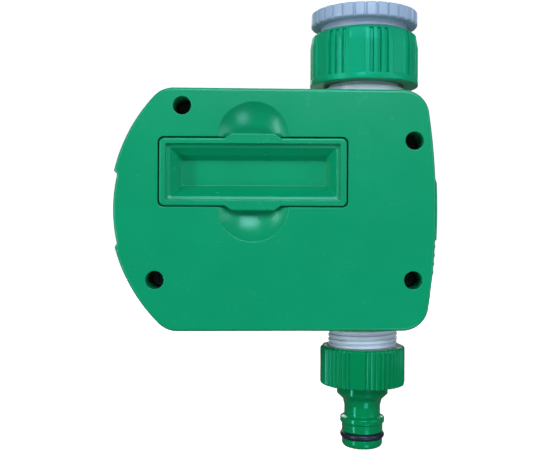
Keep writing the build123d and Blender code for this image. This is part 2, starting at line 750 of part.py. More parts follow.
def valve_ball():
    """A bored ball with a slot for the stem's tongue."""
    ball = Pos(0, 0, BALL_Z) * Sphere(BALL_R)
    ball -= Pos(0, 0, BALL_Z) * Rot(0, 90, 0) * Cylinder(BALL_BORE, 30)
    return ball - block((-1.05, 1.05), (6.4, 10), (BALL_Z - 12, BALL_Z + 12))


def ball_seat(side):
    """A ring above or below the ball with a hollow face that fits it."""
    near = BALL_Z + side * 6.1
    far = BALL_Z + side * 8.5
    ring = disc(CHAMBER_R - 0.05, min(near, far), max(near, far)) - disc(5.6, -110, -70)
    return ring - Pos(0, 0, BALL_Z) * Sphere(BALL_R + 0.05)


def valve_stem():
    """The stem: a tongue in the ball, a grooved shaft for its seal and a square drive."""
    stem = block((-0.95, 0.95), (6.5, 8.8), (BALL_Z - 2.8, BALL_Z + 2.8))
    stem += rod(0, BALL_Z, STEM_R, 8.7, LAYER_MID[0])
    stem += slab(Pos(*OUTPUT_AT) * Rectangle(DRIVE, DRIVE), LAYER_MID[0], 17.4)
    return stem - (rod(0, BALL_Z, 5, 10.2, 11.4) - rod(0, BALL_Z, 2.3, 10, 12))


def stem_seal():
    return rod(0, BALL_Z, STEM_R, 10.25, 11.35) - rod(0, BALL_Z, 2.32, 10, 12)


def gear_face(teeth, start):
    """An involute gear with its first tooth's middle at the angle start, in radians."""
    pitch_r = MODULE * teeth / 2
    base_r = pitch_r * cos(PRESSURE_ANGLE)
    root_r = pitch_r - 1.15 * MODULE
    tip_r = pitch_r + 0.85 * MODULE
    half_pitch = pi / (2 * teeth) - BACKLASH / (2 * pitch_r) + tan(PRESSURE_ANGLE) - PRESSURE_ANGLE
    flank = []
    for step in range(5):
        radius = max(base_r, root_r) + (tip_r - max(base_r, root_r)) * step / 4
        turn = acos(base_r / radius)
        flank.append((radius, half_pitch - tan(turn) + turn))
    if base_r > root_r:
        flank.insert(0, (root_r, flank[0][1]))
    points = []
    for tooth in range(teeth):
        middle = start + 2 * pi * tooth / teeth
        side = [(r, middle - half) for r, half in flank]
        side += [(r, middle + half) for r, half in reversed(flank)]
        points += [(r * cos(angle), r * sin(angle)) for r, angle in side]
    return make_face(Polyline(*points, close=True))


def mesh_angle(driver_teeth, driver_angle, driver_at, teeth, at):
    """The first-tooth angle that puts a gear in mesh with a driver."""
    line = atan2(at[1] - driver_at[1], at[0] - driver_at[0])
    driver_phase = (line - driver_angle) * driver_teeth / (2 * pi)
    phase = 0.5 - driver_phase
    return line + pi - phase * 2 * pi / teeth


ANGLE_OUTPUT = 0.0
ANGLE_B = mesh_angle(OUTPUT_TEETH, ANGLE_OUTPUT, OUTPUT_AT, PINION_TEETH, GEAR_B_AT)
ANGLE_A = mesh_angle(WHEEL_TEETH, ANGLE_B, GEAR_B_AT, PINION_TEETH, GEAR_A_AT)
ANGLE_MOTOR = mesh_angle(WHEEL_TEETH, ANGLE_A, GEAR_A_AT, MOTOR_TEETH, MOTOR_AT)


def output_gear():
    gear = slab(Pos(*OUTPUT_AT) * gear_face(OUTPUT_TEETH, ANGLE_OUTPUT), *LAYER_MID)
    gear += rod(*OUTPUT_AT, 4.2, LAYER_MID[0], 17.2)
    return gear - slab(Pos(*OUTPUT_AT) * Rectangle(DRIVE + 0.02, DRIVE + 0.02), 12, 18)


def compound_gear(at, angle, wheel_layer, pinion_layer):
    """A wheel and a pinion moulded together on one axle."""
    gear = slab(Pos(*at) * gear_face(WHEEL_TEETH, angle), *wheel_layer)
    low = min(wheel_layer[0], pinion_layer[0])
    high = max(wheel_layer[1], pinion_layer[1])
    gear += slab(Pos(*at) * gear_face(PINION_TEETH, angle), low, high)
    return gear - rod(*at, AXLE_R + 0.05, low - 1, high + 1)


def gear_axles():
    pins = [rod(*at, AXLE_R, BASE_PLATE[0] + 0.2, COVER_PLATE[1] - 0.2) for at in (GEAR_A_AT, GEAR_B_AT)]
    return Compound(pins)


def motor_pinion():
    gear = slab(Pos(*MOTOR_AT) * gear_face(MOTOR_TEETH, ANGLE_MOTOR), *LAYER_LOW)
    return gear - rod(*MOTOR_AT, SHAFT_R, LAYER_LOW[0] - 1, LAYER_LOW[1] + 1)


def motor_shaft():
    return rod(*MOTOR_AT, SHAFT_R, MOTOR_FACE - 3, LAYER_LOW[1])


def motor():
    """A small round motor with two flats and a front bearing boss."""
    can = rod(*MOTOR_AT, MOTOR_R, MOTOR_BACK, MOTOR_FACE)
    x, z = MOTOR_AT
    can &= block((x - MOTOR_R, x + MOTOR_R), (MOTOR_BACK, MOTOR_FACE), (z - 7.7, z + 7.7))
    can += rod(x, z, 3.0, MOTOR_FACE, BASE_PLATE[1])
    can += rod(x, z, 2.6, MOTOR_BACK - 1, MOTOR_BACK)
    for dx in (-5.0, 5.0):
        can += block((x + dx - 0.8, x + dx + 0.8), (MOTOR_BACK - 1.6, MOTOR_BACK), (z - 0.25, z + 0.25))
        can -= rod(x + dx, z, 0.8, MOTOR_FACE - 2, MOTOR_FACE + 1)
    return can - rod(x, z, SHAFT_R + 0.05, MOTOR_FACE - 3, BASE_PLATE[1] + 1)


def motor_screws():
    x, z = MOTOR_AT
    screws = []
    for dx in (-5.0, 5.0):
        head = rod(x + dx, z, 1.5, BASE_PLATE[1] - 0.7, BASE_PLATE[1])
        screws.append(head + rod(x + dx, z, 0.8, MOTOR_FACE - 1.8, BASE_PLATE[1]))
    return Compound(screws)


def gearbox_outline(top_edge):
    """A plate's outline: beside the valve at one end, round the motor at the other."""
    points = [(9.2, -77.5)] + top_edge + [(54, -105.5), (20, -111.8), (9.2, -110)]
    return fillet(make_face(Polyline(*points, close=True)).vertices(), 1.5)


def gearbox_base():
    """The lower plate, which carries the motor, the axles and four pillars."""
    plate = slab(gearbox_outline([(33, -80.5), (54, -86.5)]), *BASE_PLATE)
    for x, z in PILLARS:
        plate += rod(x, z, 2.0, BASE_PLATE[0], COVER_PLATE[0])
        plate -= rod(x, z, 0.8, COVER_PLATE[0] - 5, COVER_PLATE[0] + 1)
    for at in (GEAR_A_AT, GEAR_B_AT):
        plate -= rod(*at, AXLE_R, BASE_PLATE[0] + 0.2, BASE_PLATE[1] + 1)
    for x, z in PLATE_SCREWS:
        plate -= rod(x, z, 1.0, BASE_PLATE[0] - 1, BASE_PLATE[1] + 1)
    x, z = MOTOR_AT
    plate -= rod(x, z, 3.02, BASE_PLATE[0] - 1, BASE_PLATE[1] + 1)
    for dx in (-5.0, 5.0):
        plate -= rod(x + dx, z, 0.85, BASE_PLATE[0] - 1, BASE_PLATE[1] + 1)
        plate -= rod(x + dx, z, 1.55, BASE_PLATE[1] - 0.7, BASE_PLATE[1] + 1)
    return plate


def plate_screws():
    """Two screws that hold the gearbox on the valve body."""
    screws = []
    for x, z in PLATE_SCREWS:
        head = rod(x, z, 1.7, BASE_PLATE[1], BASE_PLATE[1] + 1.0)
        screws.append(head + rod(x, z, 0.9, 3.2, BASE_PLATE[1]))
    return Compound(screws)


def gearbox_cover():
    """The upper plate over the gears, cut back from the finger scoop behind it."""
    scoop_side = [(31.0, -81.0), (33.0, -86.0), (40.0, -91.0), (54.0, -91.0)]
    cover = slab(gearbox_outline(scoop_side), *COVER_PLATE)
    for at in (GEAR_A_AT, GEAR_B_AT):
        cover -= rod(*at, AXLE_R, COVER_PLATE[0] - 1, COVER_PLATE[1] - 0.2)
    for x, z in PILLARS:
        cover -= rod(x, z, 0.9, COVER_PLATE[0] - 1, COVER_PLATE[1] + 1)
    return cover


def gearbox_screws():
    screws = []
    for x, z in PILLARS:
        head = rod(x, z, 1.6, COVER_PLATE[1], COVER_PLATE[1] + 0.7)
        screws.append(head + rod(x, z, 0.8, COVER_PLATE[0] - 4.5, COVER_PLATE[1]))
    return Compound(screws)


def outlet_washer():
    bottom = WASHER_BELOW + 0.02
    return disc(12.6, bottom, SPIGOT_END - 0.02) - disc(7.2, bottom - 1, SPIGOT_END + 1)


def connector_ring():
    """The connector's ribbed outline: 52 rib places, with four flat panels."""
    ring = Circle(CONNECTOR_R + 0.5)
    step = 360 / 52
    for index in range(52):
        place = index % 13
        angle = 90 - 12.3 + step * index
        if place not in (0, 1, 12):
            ring -= Rot(0, 0, angle + step / 2) * Pos(CONNECTOR_R + 0.35, 0) * Rectangle(2.0, 0.85)
    for index in range(4):
        angle = 90 - 12.3 + 90 * index
        half_width = CONNECTOR_R * sin(radians(1.5 * step))
        flat = CONNECTOR_R * cos(radians(1.5 * step)) - 0.1
        ring -= Rot(0, 0, angle) * Pos(flat + 2, 0) * Rectangle(4, 2 * half_width)
    return ring


def outlet_connector():
    """One moulding: a ribbed nut on the outlet spigot and a snap-fit hose nipple."""
    connector = turned(
        [
            (13.35, CONNECTOR_TOP),
            (CONNECTOR_R - 1.4, CONNECTOR_TOP),
            (CONNECTOR_R - 0.4, CONNECTOR_TOP - 0.4),
            (CONNECTOR_R, CONNECTOR_TOP - 1.4),
            (CONNECTOR_R, CONNECTOR_SHOULDER + 0.8),
            (CONNECTOR_R - 0.25, CONNECTOR_SHOULDER + 0.25),
            (CONNECTOR_R - 0.8, CONNECTOR_SHOULDER),
            (9.8, CONNECTOR_SHOULDER),
            (9.8, -145.6),
            (9.5, -146.4),
            (8.5, -147.3),
            (7.4, -148.5),
            (7.0, -149.8),
            (6.9, -153.6),
            (7.5, -153.9),
            (8.2, -154.3),
            (8.5, -155.0),
            (8.5, -156.4),
            (8.25, -156.9),
            (7.9, -157.3),
            (7.9, -160.55),
            (6.6, -160.55),
            (6.6, -163.2),
            (NIPPLE_R, -163.2),
            (NIPPLE_R, TIP + 1.5),
            (NIPPLE_R - 0.5, TIP + 0.5),
            (NIPPLE_R - 1.5, TIP),
            (5.2, TIP),
            (5.2, -140.0),
            (7.0, WASHER_BELOW),
            (13.35, WASHER_BELOW),
        ]
    )
    ribbed = Circle(CONNECTOR_R + 1) - connector_ring()
    height = CONNECTOR_TOP - CONNECTOR_SHOULDER + 2
    return connector - Pos(0, 0, CONNECTOR_SHOULDER - 1) * extrude(ribbed, amount=height)


def outlet_o_ring():
    """A round-section ring in the nipple's groove."""
    ring = revolve(Plane.XZ * Pos(7.25, O_RING_Z) * Circle(O_RING_CORD / 2), Axis.Z)
    return ring & (disc(20, O_RING_Z - 3, O_RING_Z + 3) - disc(6.62, O_RING_Z - 4, O_RING_Z + 4))


SINGLE = {
    "rear_housing": rear_housing,
    "front_housing": front_housing,
    "housing_gasket": housing_gasket,
    "housing_screws": housing_screws,
    "battery_cover": battery_cover,
    "battery_seal": battery_seal,
    "battery_cradle": battery_cradle,
    "battery_contacts": battery_contacts,
    "bay_contacts": bay_contacts,
    "valve_body_upper": valve_body_upper,
    "valve_body_lower": valve_body_lower,
    "valve_body_o_ring": valve_body_o_ring,
    "valve_ball": valve_ball,
    "valve_stem": valve_stem,
    "stem_seal": stem_seal,
    "output_gear": output_gear,
    "gear_axles": gear_axles,
    "motor_pinion": motor_pinion,
    "motor_shaft": motor_shaft,
    "motor": motor,
    "motor_screws": motor_screws,
    "gearbox_base": gearbox_base,
    "gearbox_cover": gearbox_cover,
    "gearbox_screws": gearbox_screws,
    "plate_screws": plate_screws,
    "circuit_board": circuit_board,
    "board_parts": board_parts,
    "board_screws": board_screws,
    "tact_switches": tact_switches,
    "lcd_module": lcd_module,
    "lcd_window": lcd_window,
    "fascia_panel": fascia_panel,
    "flip_cover": flip_cover,
    "cover_hinge_pin": cover_hinge_pin,
    "swivel_nut": swivel_nut,
    "inlet_adapter": inlet_adapter,
    "inlet_washer": inlet_washer,
    "filter_screen": filter_screen,
    "outlet_connector": outlet_connector,
    "outlet_washer": outlet_washer,
    "outlet_o_ring": outlet_o_ring,
}


def write(name, shape):
    export_step(shape, f"parts/{name}.step")


for name, make in SINGLE.items():
    write(name, make())
write("battery_1", battery(battery_rows()[0], 1))
write("battery_2", battery(battery_rows()[1], -1))
write("ball_seat_upper", ball_seat(1))
write("ball_seat_lower", ball_seat(-1))
write("gear_a", compound_gear(GEAR_A_AT, ANGLE_A, LAYER_LOW, LAYER_HIGH))
write("gear_b", compound_gear(GEAR_B_AT, ANGLE_B, LAYER_HIGH, LAYER_MID))
for number, place in enumerate(BUTTON_PLACES, start=1):
    write(f"button_{number}", push_button(place))
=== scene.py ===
"""Looks of the drip irrigation timer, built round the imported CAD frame.

The pieces' shapes are written in millimetres. Materials, stage, lights and camera are in metres.
"""
import json
from math import cos, degrees, pi, radians, sin, tan

import bmesh
import bpy
from mathutils import Matrix, Vector


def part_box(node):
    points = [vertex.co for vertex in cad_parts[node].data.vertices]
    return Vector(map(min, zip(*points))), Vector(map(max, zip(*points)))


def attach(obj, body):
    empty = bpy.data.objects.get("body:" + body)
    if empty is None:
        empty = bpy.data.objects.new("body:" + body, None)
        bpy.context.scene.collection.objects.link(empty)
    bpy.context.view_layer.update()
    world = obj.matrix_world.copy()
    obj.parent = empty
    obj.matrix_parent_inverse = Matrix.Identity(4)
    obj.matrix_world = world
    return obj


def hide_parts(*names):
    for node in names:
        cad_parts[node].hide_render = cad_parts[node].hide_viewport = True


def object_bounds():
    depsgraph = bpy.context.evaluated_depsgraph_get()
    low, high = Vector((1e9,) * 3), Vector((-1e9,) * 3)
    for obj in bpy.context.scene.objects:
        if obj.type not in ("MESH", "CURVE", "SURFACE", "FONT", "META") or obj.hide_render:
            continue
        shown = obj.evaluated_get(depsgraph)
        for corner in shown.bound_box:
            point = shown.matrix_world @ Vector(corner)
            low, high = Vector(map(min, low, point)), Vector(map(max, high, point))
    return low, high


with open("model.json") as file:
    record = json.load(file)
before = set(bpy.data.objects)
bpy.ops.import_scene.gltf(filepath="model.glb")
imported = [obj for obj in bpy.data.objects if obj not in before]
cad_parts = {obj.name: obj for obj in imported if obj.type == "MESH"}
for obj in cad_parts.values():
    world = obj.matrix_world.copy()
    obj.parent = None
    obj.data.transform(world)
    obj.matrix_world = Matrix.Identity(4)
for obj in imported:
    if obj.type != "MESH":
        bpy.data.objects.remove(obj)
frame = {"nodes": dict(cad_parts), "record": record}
cad_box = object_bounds()
NODES = frame["nodes"]
RECORD = frame["record"]
MM = 0.001


# ---------------------------------------------------------------- colours and materials

def srgb(red, green, blue):
    """An 8-bit screen colour as linear RGBA."""
    channels = []
    for value in (red, green, blue):
        c = value / 255
        channels.append(c / 12.92 if c <= 0.04045 else ((c + 0.055) / 1.055) ** 2.4)
    return (*channels, 1.0)


RAMP_START, RAMP_END = 0.3, 0.7
BEVEL_SAMPLES = 6


class Nodes:
    """A short way to write a material's node tree."""

    def __init__(self, name):
        self.material = bpy.data.materials.new(name)
        self.material.use_nodes = True
        self.tree = self.material.node_tree
        self.tree.nodes.clear()
        self.output = self.add("ShaderNodeOutputMaterial")
        self.shader = self.add("ShaderNodeBsdfPrincipled")
        self.link(self.shader.outputs["BSDF"], self.output.inputs["Surface"])
        self.place = self.add("ShaderNodeTexCoord").outputs["Object"]

    def add(self, kind, **values):
        node = self.tree.nodes.new(kind)
        for key, value in values.items():
            setattr(node, key, value)
        return node

    def link(self, source, target):
        self.tree.links.new(source, target)

    def set(self, **values):
        """Sets constants on the shader's own sockets, with _ for each space in a socket's name."""
        for key, value in values.items():
            self.shader.inputs[key.replace("_", " ")].default_value = value

    def noise(self, scale, detail, stretch=None):
        """A noise value over the piece, scale in cycles per metre."""
        node = self.add("ShaderNodeTexNoise")
        node.inputs["Scale"].default_value = scale
        node.inputs["Detail"].default_value = detail
        source = self.place
        if stretch:
            mapping = self.add("ShaderNodeMapping")
            mapping.inputs["Scale"].default_value = stretch
            self.link(source, mapping.inputs["Vector"])
            source = mapping.outputs["Vector"]
        self.link(source, node.inputs["Vector"])
        return node.outputs["Fac"]

    def ramp(self, value, low, high):
        """Turns a value into a colour between low and high."""
        node = self.add("ShaderNodeValToRGB")
        node.color_ramp.elements[0].position = RAMP_START
        node.color_ramp.elements[0].color = low
        node.color_ramp.elements[1].position = RAMP_END
        node.color_ramp.elements[1].color = high
        self.link(value, node.inputs["Fac"])
        return node.outputs["Color"]

    def spread(self, value, low, high):
        """Maps a 0 to 1 value onto low to high."""
        node = self.add("ShaderNodeMapRange")
        node.inputs["To Min"].default_value = low
        node.inputs["To Max"].default_value = high
        self.link(value, node.inputs["Value"])
        return node.outputs["Result"]

    def bump(self, value, distance, strength, before=None):
        """A normal that a height value tilts, distance in metres, on top of the one before."""
        node = self.add("ShaderNodeBump")
        node.inputs["Distance"].default_value = distance
        node.inputs["Strength"].default_value = strength
        self.link(value, node.inputs["Height"])
        if before:
            self.link(before, node.inputs["Normal"])
        return node.outputs["Normal"]

    def soft_edges(self, radius):
        """A normal that rounds sharp edges by a small radius."""
        node = self.add("ShaderNodeBevel", samples=BEVEL_SAMPLES)
        node.inputs["Radius"].default_value = radius
        return node.outputs["Normal"]

    def colour(self, output):
        self.link(output, self.shader.inputs["Base Color"])

    def roughness(self, output):
        self.link(output, self.shader.inputs["Roughness"])

    def normal(self, output):
        self.link(output, self.shader.inputs["Normal"])


def tinted(colour, factor):
    """A colour made darker or lighter by a factor."""
    return (*(min(1.0, c * factor) for c in colour[:3]), 1.0)


def moulded_plastic(name, colour, rough, grain, grain_scale, mottling, sheen=(1.0, 1.0, 1.0), edge=0.0002):
    """Injection moulded plastic: slow colour drift, spark-eroded grain, uneven gloss, soft edges."""
    n = Nodes(name)
    n.set(Specular_IOR_Level=0.5, Specular_Tint=(*sheen, 1.0))
    drift = n.noise(scale=38, detail=4)
    n.colour(n.ramp(drift, tinted(colour, 1 - mottling), tinted(colour, 1 + mottling)))
    n.roughness(n.spread(n.noise(scale=120, detail=5), rough - 0.05, rough + 0.06))
    height = n.noise(scale=grain_scale, detail=2)
    n.normal(n.bump(height, distance=grain, strength=0.6, before=n.soft_edges(edge)))
    return n.material


def metal(name, colour, rough):
    """Plated or ground steel with fine brushed lines."""
    n = Nodes(name)
    n.set(Metallic=1.0)
    lines = n.noise(scale=900, detail=3, stretch=(1, 40, 1))
    n.colour(n.ramp(lines, tinted(colour, 0.88), tinted(colour, 1.05)))
    n.roughness(n.spread(lines, rough - 0.08, rough + 0.1))
    n.normal(n.bump(lines, distance=0.00001, strength=0.3))
    return n.material


def rubber(name, colour, rough=0.6):
    """Rubber or silicone: blotchy, dull, with a fine grain."""
    n = Nodes(name)
    n.set(Specular_IOR_Level=0.35)
    n.colour(n.ramp(n.noise(scale=300, detail=4), tinted(colour, 0.85), tinted(colour, 1.2)))
    n.roughness(n.spread(n.noise(scale=700, detail=3), rough - 0.1, rough + 0.1))
    n.normal(n.bump(n.noise(scale=3000, detail=2), distance=0.00002, strength=0.5))
    return n.material


def clear_plastic(name, tint, rough):
    """Clear polycarbonate, faintly tinted, with handling marks in its gloss."""
    n = Nodes(name)
    n.set(Transmission_Weight=1.0, IOR=1.2, Specular_IOR_Level=0.5)
    n.colour(n.ramp(n.noise(scale=60, detail=3), tinted(tint, 0.97), tint))
    n.roughness(n.spread(n.noise(scale=240, detail=5), rough * 0.5, rough * 1.8))
    return n.material


GREEN_SHEEN = (0.12, 1.0, 0.92)
HOUSING_SHEEN = (0.5, 1.0, 1.0)

# material slot: maker, colour, roughness, and for a moulded plastic also its grain's height in metres
# and cycles per metre, its colour drift and, where they aren't the usual ones, its gloss's tint and the
# radius of its soft edges
LOOKS = {
    "housing_green": (moulded_plastic, srgb(2, 144, 97), 0.25, 0.00005, 2200, 0.04, HOUSING_SHEEN, 0.0005),
    "connector_green": (moulded_plastic, srgb(2, 128, 74), 0.15, 0.00001, 900, 0.03, GREEN_SHEEN),
    "nut_green": (moulded_plastic, srgb(6, 150, 104), 0.34, 0.00004, 2200, 0.05, GREEN_SHEEN),
    "adapter_grey": (moulded_plastic, srgb(150, 174, 200), 0.4, 0.00003, 2000, 0.03),
    "valve_grey": (moulded_plastic, srgb(214, 230, 246), 0.24, 0.00002, 1800, 0.03),
    "seal_rubber": (rubber, srgb(20, 34, 50), 0.36),
    "washer_rubber": (rubber, srgb(40, 41, 44)),
    "seal_silicone": (rubber, srgb(50, 56, 56)),
    "screw_steel": (metal, srgb(74, 76, 80), 0.42),
    "pin_steel": (metal, srgb(190, 192, 196), 0.22),
    "clear_lid": (clear_plastic, srgb(226, 238, 236), 0.06),
    "clear_window": (clear_plastic, srgb(236, 240, 236), 0.04),
    "panel_black": (moulded_plastic, srgb(38, 44, 48), 0.38, 0.00003, 2600, 0.06),
    "button_grey": (moulded_plastic, srgb(196, 204, 206), 0.42, 0.00003, 2600, 0.02),
    "lcd_glass": (moulded_plastic, srgb(150, 164, 142), 0.35, 0.00001, 3000, 0.03),
    "board_green": (moulded_plastic, srgb(18, 84, 46), 0.28, 0.00003, 1400, 0.12),
    "chip_black": (moulded_plastic, srgb(30, 30, 32), 0.5, 0.00003, 2600, 0.08),
    "switch_black": (moulded_plastic, srgb(34, 34, 36), 0.45, 0.00003, 2600, 0.08),
    "gear_nylon": (moulded_plastic, srgb(232, 228, 212), 0.4, 0.00002, 2600, 0.02),
    "gearbox_abs": (moulded_plastic, srgb(212, 213, 208), 0.45, 0.00003, 2600, 0.02),
    "motor_can": (metal, srgb(170, 171, 174), 0.32),
    "cell_jacket": (moulded_plastic, srgb(44, 56, 74), 0.25, 0.00001, 900, 0.05),
    "contact_nickel": (metal, srgb(206, 200, 184), 0.24),
    "tray_black": (moulded_plastic, srgb(32, 34, 36), 0.48, 0.00004, 2200, 0.06),
    "seat_ptfe": (moulded_plastic, srgb(236, 236, 234), 0.3, 0.00001, 900, 0.02),
    "ball_chrome": (metal, srgb(200, 203, 208), 0.12),
    "mesh_white": (moulded_plastic, srgb(218, 221, 222), 0.45, 0.00002, 2600, 0.02),
}
MATERIALS = {slot: make(slot, *look) for slot, (make, *look) in LOOKS.items()}
CAD_EDGE_ANGLE = 28


def dress_cad_nodes():
    """Gives each CAD node its own slot's material and crisp edges between smooth faces."""
    for entry in RECORD["subparts"]:
        node = NODES[entry["node"]]
        node.data.materials.clear()
        node.data.materials.append(MATERIALS[entry["material_slot"]])
        node.data.shade_smooth()
        node.data.set_sharp_from_angle(angle=radians(CAD_EDGE_ANGLE))


dress_cad_nodes()


# ---------------------------------------------------------------- mesh kit for turned pieces

ARC_STEPS = 5


def rounded_outline(corners):
    """A closed (radius, z) outline from corners of (radius, z, rounding), in millimetres."""
    path = []
    for index, (radius, z, rounding) in enumerate(corners):
        here = Vector((radius, z))
        into = (Vector(corners[index - 1][:2]) - here).normalized()
        away = (Vector(corners[(index + 1) % len(corners)][:2]) - here).normalized()
        if not rounding:
            path.append(here)
            continue
        half = into.angle(away) / 2
        centre = here + (into + away).normalized() * rounding / sin(half)
        start = here + into * rounding / tan(half) - centre
        turn = start.angle_signed(here + away * rounding / tan(half) - centre)
        for step in range(ARC_STEPS + 1):
            path.append(centre + Matrix.Rotation(-turn * step / ARC_STEPS, 2) @ start)
    return path


def between(start, end, step):
    """Points from start to end about a step apart, in millimetres."""
    count = max(1, round((Vector(end) - Vector(start)).length / step))
    return [Vector(start).lerp(Vector(end), index / count) for index in range(count + 1)]


def turned_skin(outline, segments, relief=None):
    """Turns an outline about the pipe axis. relief gives the radius at (angle, radius, z)."""
    skin = bmesh.new()
    rings = []
    for radius, z in outline:
        ring = []
        for index in range(segments):
            angle = 2 * pi * index / segments
            reach = relief(angle, radius, z) if relief else radius
            ring.append(skin.verts.new((reach * cos(angle) * MM, reach * sin(angle) * MM, z * MM)))
        rings.append(ring)
    for ring, following in zip(rings, rings[1:] + rings[:1]):
        for index in range(segments):
            ahead = (index + 1) % segments
            skin.faces.new((ring[index], ring[ahead], following[ahead], following[index]))
    bmesh.ops.recalc_face_normals(skin, faces=skin.faces)
    return skin


def add_piece(name, skin, body, slot, replaced=(), sharp=35):
    """Turns a skin into a piece that rides on a body and may stand for CAD nodes.

    Edges that turn by more than sharp degrees stay crisp.
    """
    mesh = bpy.data.meshes.new(name)
    skin.to_mesh(mesh)
    skin.free()
    mesh.shade_smooth()
    mesh.set_sharp_from_angle(angle=radians(sharp))
    mesh.materials.append(MATERIALS[slot])
    piece = bpy.data.objects.new(name, mesh)
    bpy.context.scene.collection.objects.link(piece)
    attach(piece, body)
    if replaced:
        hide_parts(*replaced)


def ease(value):
    """0 below 0, 1 above 1, and smooth between."""
    value = min(1.0, max(0.0, value))
    return value * value * (3 - 2 * value)


def off_centre(angle, centre, step):
    """How far an angle is from the nearest of many evenly spaced places, in degrees."""
    offset = (degrees(angle) - centre) / step
    return (offset - round(offset)) * step


# ---------------------------------------------------------------- threads, as on the CAD model

G34 = {"root": 12.1, "crest": 13.2, "pitch": 1.814}
G1 = {"root": 15.2, "crest": 16.6, "pitch": 2.309}
INLET_PHASE = -10.0
OUTLET_PHASE = -132.8

# phase is the z where the crest crosses angle 0, low to high is the thread's run, soft is how long it
# takes to fade at each end, and step is the spacing of the wall's points
TAP_THREAD = {**G34, "phase": -3.0, "low": -12.6, "high": -0.4, "soft": 0.8, "step": 0.2}
ADAPTER_THREAD = {**G1, "phase": INLET_PHASE, "low": -18.6, "high": -7.2, "soft": 1.0, "step": 0.22}
NUT_THREAD = {**G1, "phase": INLET_PHASE, "low": -24.2, "high": -8.5, "soft": 1.0, "step": 0.24}
SPIGOT_THREAD = {**G34, "phase": OUTLET_PHASE, "low": -134.2, "high": -120.1, "soft": 0.7, "step": 0.13}
CONNECTOR_THREAD = {**G34, "phase": OUTLET_PHASE, "low": -136.2, "high": -128.1, "soft": 0.7, "step": 0.22}


def off_crest(thread, angle, z):
    """How far a point is from the nearest crest line, as a part of the pitch."""
    turns = (z - thread["phase"]) / thread["pitch"] - angle / (2 * pi)
    return abs(turns - round(turns))


def on_crest(thread, angle, z, crest, flank):
    """0 in a thread's valley and 1 on its crest. crest and flank are parts of the pitch."""
    return ease((crest / 2 + flank - off_crest(thread, angle, z)) / flank)


def between_crests(thread, angle, z, clear, flank):
    """1 between the crests of the thread that screws in and 0 within clear of its crest line."""
    return ease((off_crest(thread, angle, z) - clear) / flank)


def run_out(thread, z):
    """1 well inside a thread's run, falling to 0 at its two ends."""
    return ease((z - thread["low"]) / thread["soft"]) * ease((thread["high"] - z) / thread["soft"])


def wall(thread, radius, start_z, end_z):
    """A straight wall's points, close enough together to carry the thread."""
    return between((radius, start_z), (radius, end_z), thread["step"])


# ---------------------------------------------------------------- inlet: adapter and swivel nut

# angles are in degrees about the pipe, and 90 faces the battery side
ADAPTER = {
    "ring_r": 20.4, "ring_low": -5.2, "lip": 0.5, "end": -18.9, "chamfer": 0.5, "bore": 10.0,
    "tap_r": 12.06, "tap_low": -12.9, "tap_depth": 1.05, "knurl_from": 17.0, "segments": 660,
}
KNURL = {"at": 85.5, "every": 12, "depth": 0.7, "half": 0.56, "flank": 0.22}


def adapter_relief(angle, radius, z):
    """Knurl grooves on the ring, the outside thread below it and the tap thread inside."""
    if radius < G34["crest"] and z > ADAPTER["tap_low"]:
        rise = on_crest(TAP_THREAD, angle, z, crest=0.3, flank=0.25)
        return radius + ADAPTER["tap_depth"] * rise * run_out(TAP_THREAD, z)
    if radius > ADAPTER["knurl_from"]:
        off = abs(off_centre(angle, KNURL["at"], KNURL["every"])) * radians(1) * ADAPTER["ring_r"]
        return radius - KNURL["depth"] * ease((KNURL["half"] - off) / KNURL["flank"])
    if radius > G1["root"]:
        rise = on_crest(ADAPTER_THREAD, angle, z, crest=0.3, flank=0.25)
        kept = 1 - (1 - rise) * run_out(ADAPTER_THREAD, z)
        return G1["root"] + (radius - G1["root"]) * kept
    return radius


def inlet_adapter():
    """The knurled reducer between the tap and the swivel nut."""
    ring = rounded_outline([
        (ADAPTER["tap_r"], 0.0, 0.0),
        (ADAPTER["ring_r"], 0.0, 0.6),
        (ADAPTER["ring_r"], ADAPTER["ring_low"] + ADAPTER["lip"], 0.25),
        (ADAPTER["ring_r"] - ADAPTER["lip"], ADAPTER["ring_low"], 0.2),
        (G1["crest"], ADAPTER["ring_low"], 0.0),
    ])
    outside = wall(ADAPTER_THREAD, G1["crest"], ADAPTER["ring_low"], ADAPTER["end"] + ADAPTER["chamfer"])
    end = [
        Vector((G1["crest"] - ADAPTER["chamfer"], ADAPTER["end"])),
        Vector((ADAPTER["bore"], ADAPTER["end"])),
        Vector((ADAPTER["bore"], ADAPTER["tap_low"] - 0.1)),
    ]
    inside = wall(TAP_THREAD, ADAPTER["tap_r"], ADAPTER["tap_low"], 0.0)
    return turned_skin(ring[1:] + outside[1:] + end + inside, ADAPTER["segments"], adapter_relief)


NUT = {
    "r": 20.77, "top": -8.2, "top_r": 18.6, "bottom": -28.1, "foot_r": 15.4, "bore": 13.9,
    "thread_r": 16.75, "thread_low": -24.5, "thread_depth": 1.4,
    "grip_from": 18.2, "grip_low": -25.5, "grip_step": 0.35, "segments": 840,
}
NUT_PANEL = {
    "at": 90 - 12.7, "every": 45, "half": 7.7, "edge": 0.5, "sunk": 0.3,
    "top_sunk": 0.35, "top_from": -11.0, "top_run": 2.0,
}
NUT_GROOVE = {"off": (14.5, 22.5), "depth": 1.1, "half": 0.76, "flank": 0.2, "top": -9.3, "top_run": 0.5}


